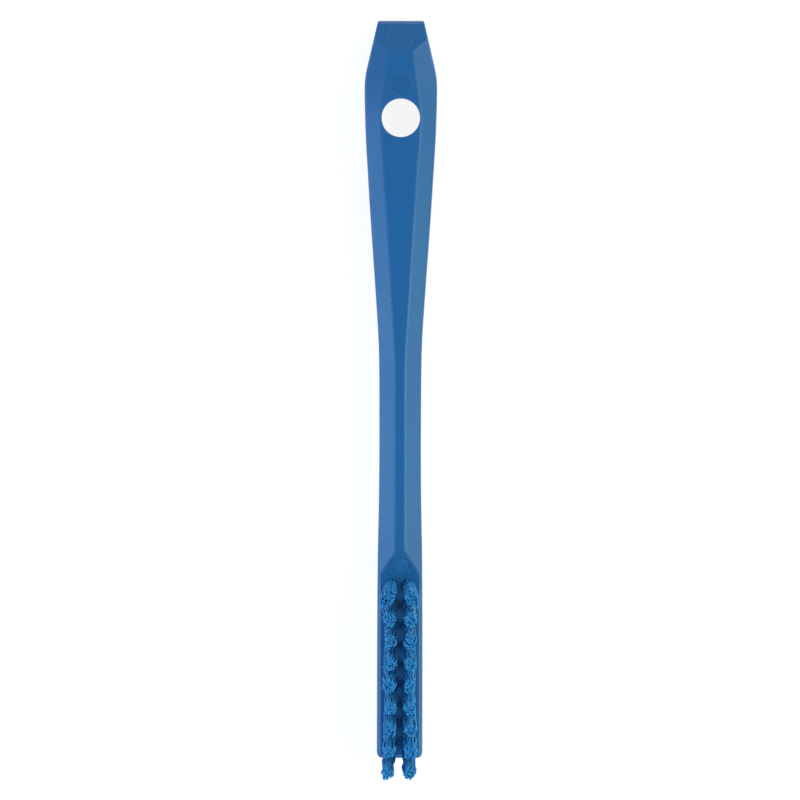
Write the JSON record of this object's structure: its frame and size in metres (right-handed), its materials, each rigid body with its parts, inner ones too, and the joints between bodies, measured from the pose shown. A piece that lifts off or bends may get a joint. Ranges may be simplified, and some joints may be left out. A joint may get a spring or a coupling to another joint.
{
  "type": "scrub brush",
  "caption": "Narrow scrub brush: a faceted moulded handle with a hanging hole and a chisel end, and two rows of forward-leaning bristle tufts on a stepped-down head.",
  "frame": {"origin": "under the middle of the whole brush, on the flat back facet that it rests on", "axes": "+X across the brush, +Y along it towards the hanging hole and the chisel end, +Z the way that the bristles point"},
  "size_m": [0.0198, 0.205, 0.024],
  "materials": {
    "handle": "moulded blue polypropylene, satin",
    "bristles": "blue polyester filaments, crimped",
    "anchors": "flat stainless wire"
  },
  "bodies": {
    "root": {"handle": "handle", "tuft_left_1": "bristles", "tuft_left_2": "bristles", "tuft_left_3": "bristles", "tuft_left_4": "bristles", "tuft_left_5": "bristles", "tuft_left_6": "bristles", "tuft_left_7": "bristles", "tuft_left_8": "bristles", "tuft_left_9": "bristles", "tuft_right_1": "bristles", "tuft_right_2": "bristles", "tuft_right_3": "bristles", "tuft_right_4": "bristles", "tuft_right_5": "bristles", "tuft_right_6": "bristles", "tuft_right_7": "bristles", "tuft_right_8": "bristles", "tuft_right_9": "bristles", "anchor_left_1": "anchors", "anchor_left_2": "anchors", "anchor_left_3": "anchors", "anchor_left_4": "anchors", "anchor_left_5": "anchors", "anchor_left_6": "anchors", "anchor_left_7": "anchors", "anchor_left_8": "anchors", "anchor_left_9": "anchors", "anchor_right_1": "anchors", "anchor_right_2": "anchors", "anchor_right_3": "anchors", "anchor_right_4": "anchors", "anchor_right_5": "anchors", "anchor_right_6": "anchors", "anchor_right_7": "anchors", "anchor_right_8": "anchors", "anchor_right_9": "anchors"}
  },
  "joints": []
}
